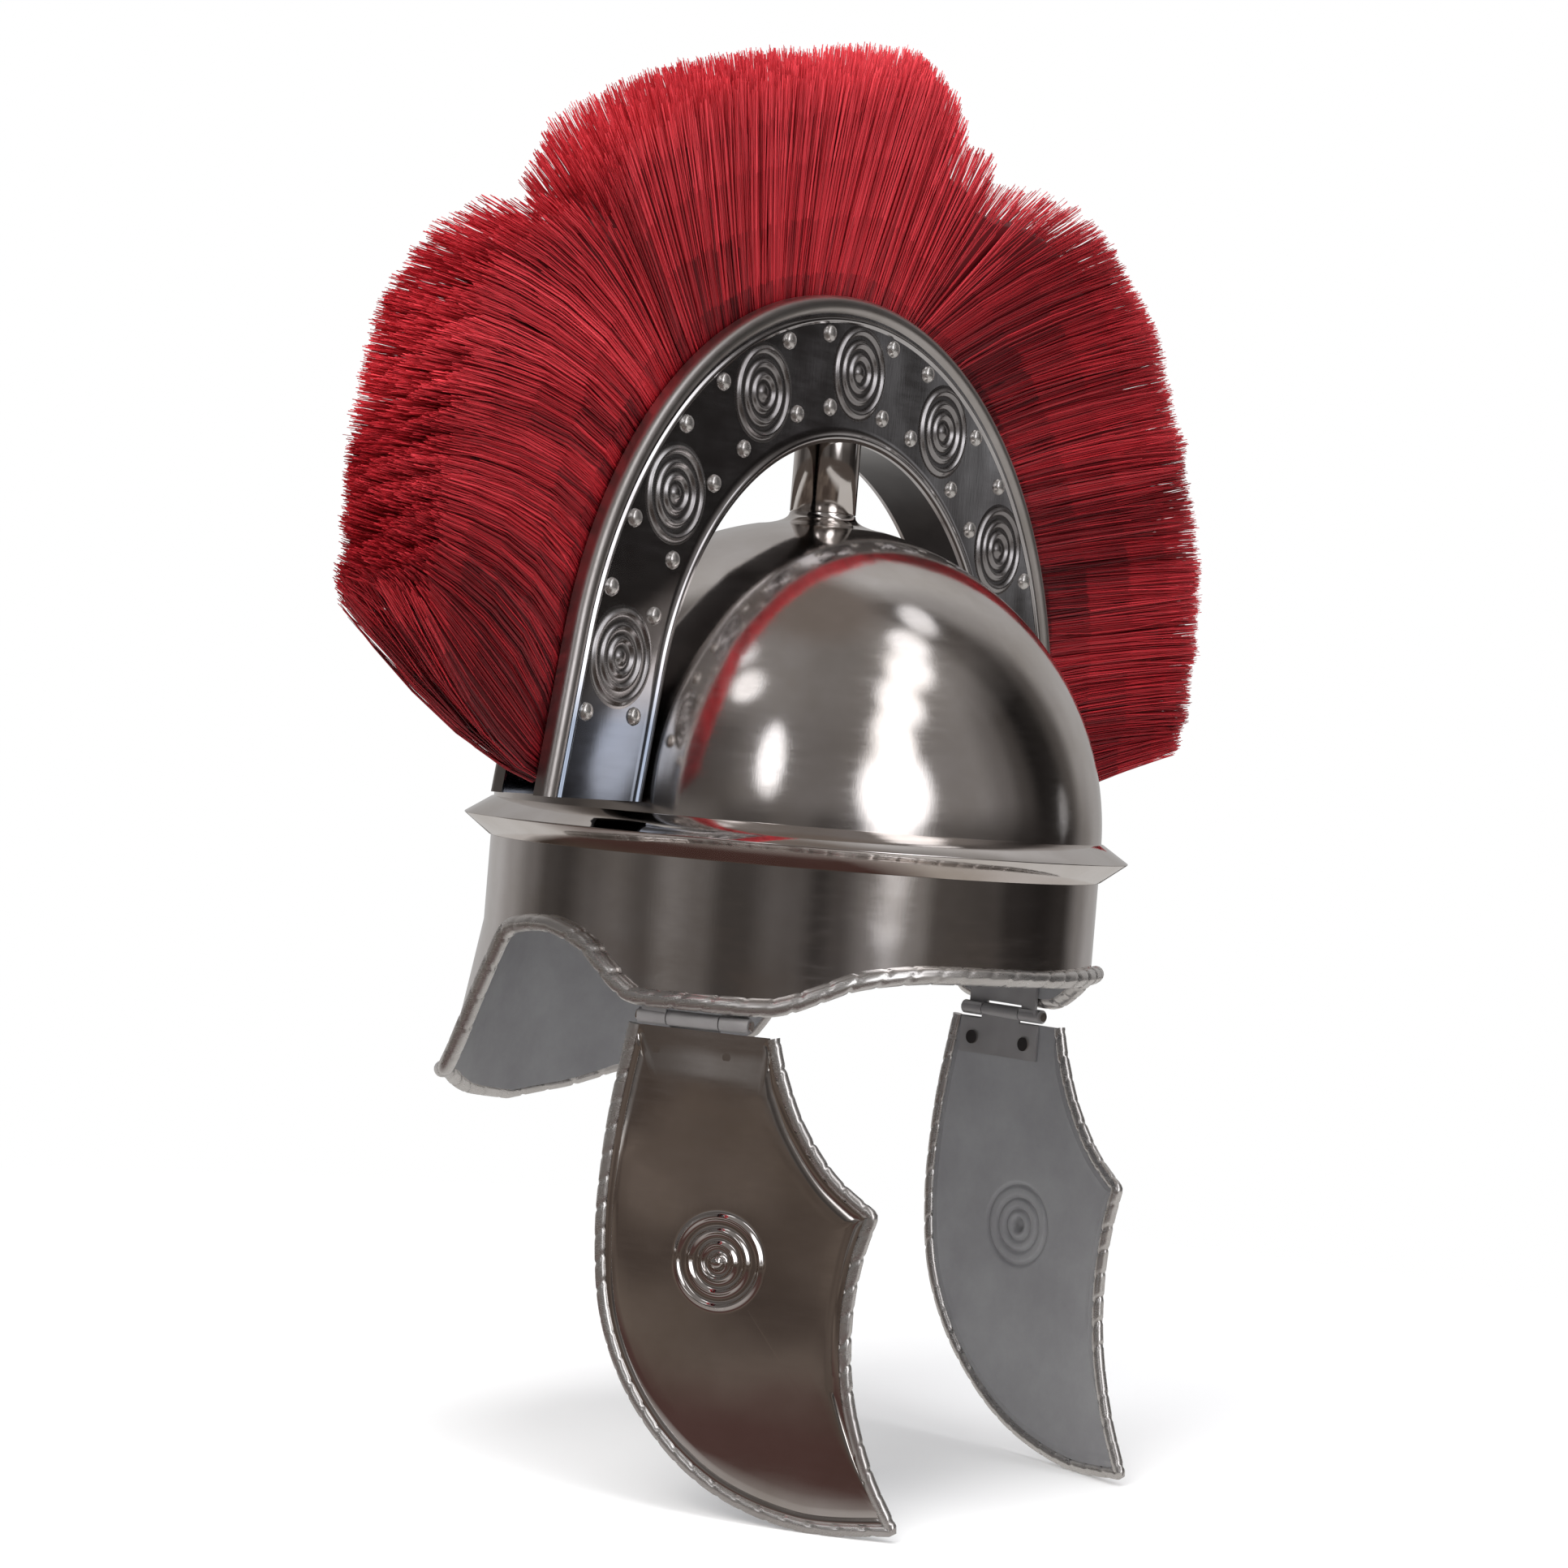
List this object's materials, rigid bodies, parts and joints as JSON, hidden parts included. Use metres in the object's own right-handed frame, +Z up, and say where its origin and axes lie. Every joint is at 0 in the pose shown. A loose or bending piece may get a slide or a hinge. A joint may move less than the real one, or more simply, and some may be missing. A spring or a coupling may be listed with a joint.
{
  "type": "plumed helmet",
  "caption": "Round steel helmet with a brow ridge, neck guard, two hinged cheek guards and a hair crest that runs from ear to ear.",
  "frame": {"origin": "centre of the circle of the brow ridge's sharp edge, on the head's axis", "axes": "+Z up through the dome's top, -Y towards the face, +X towards the wearer's left"},
  "size_m": [0.5376, 0.2457, 0.5175],
  "materials": {
    "polished_steel": "mirror polished outside, satin grey inside",
    "rolled_edge": "polished",
    "hinge_leaf": "satin",
    "block": "dark stain",
    "hair": "dyed horsehair"
  },
  "bodies": {
    "helmet": {"dome": "polished_steel", "ridge": "polished_steel", "brow_band": "polished_steel", "band_edge_roll": "rolled_edge", "neck_guard": "polished_steel", "neck_edge_roll": "rolled_edge", "crest_spigot": "rolled_edge", "right_band_leaf": "hinge_leaf", "left_band_leaf": "hinge_leaf", "right_hinge_pin": "rolled_edge", "left_hinge_pin": "rolled_edge", "band_rivets": "rolled_edge"},
    "right_cheek": {"right_cheek_guard": "polished_steel", "right_cheek_roll": "rolled_edge", "right_cheek_leaf": "hinge_leaf", "right_cheek_rivets": "rolled_edge"},
    "left_cheek": {"left_cheek_guard": "polished_steel", "left_cheek_roll": "rolled_edge", "left_cheek_leaf": "hinge_leaf", "left_cheek_rivets": "rolled_edge"},
    "crest": {"crest_front": "polished_steel", "crest_back": "polished_steel", "crest_soffit": "polished_steel", "crest_tube": "polished_steel", "plume_base": "block", "hair_tuft_1": "hair", "hair_tuft_2": "hair", "hair_tuft_3": "hair", "hair_tuft_4": "hair", "hair_tuft_5": "hair", "hair_tuft_6": "hair", "hair_tuft_7": "hair", "hair_tuft_8": "hair"}
  },
  "joints": [
    {"name": "right_cheek_hinge", "type": "hinge", "parent": "helmet", "child": "right_cheek", "pos_m": [-0.10186, -0.0331, -0.0613], "axis": [-0.225, 0.9744, 0], "range_deg": [-27, 90]},
    {"name": "left_cheek_hinge", "type": "hinge", "parent": "helmet", "child": "left_cheek", "pos_m": [0.10186, -0.0331, -0.0613], "axis": [-0.225, -0.9744, 0], "range_deg": [-27, 90]},
    {"name": "crest_lift", "type": "slide", "parent": "helmet", "child": "crest", "axis": [0, 0, 1], "range_m": [0, 0.05]}
  ]
}
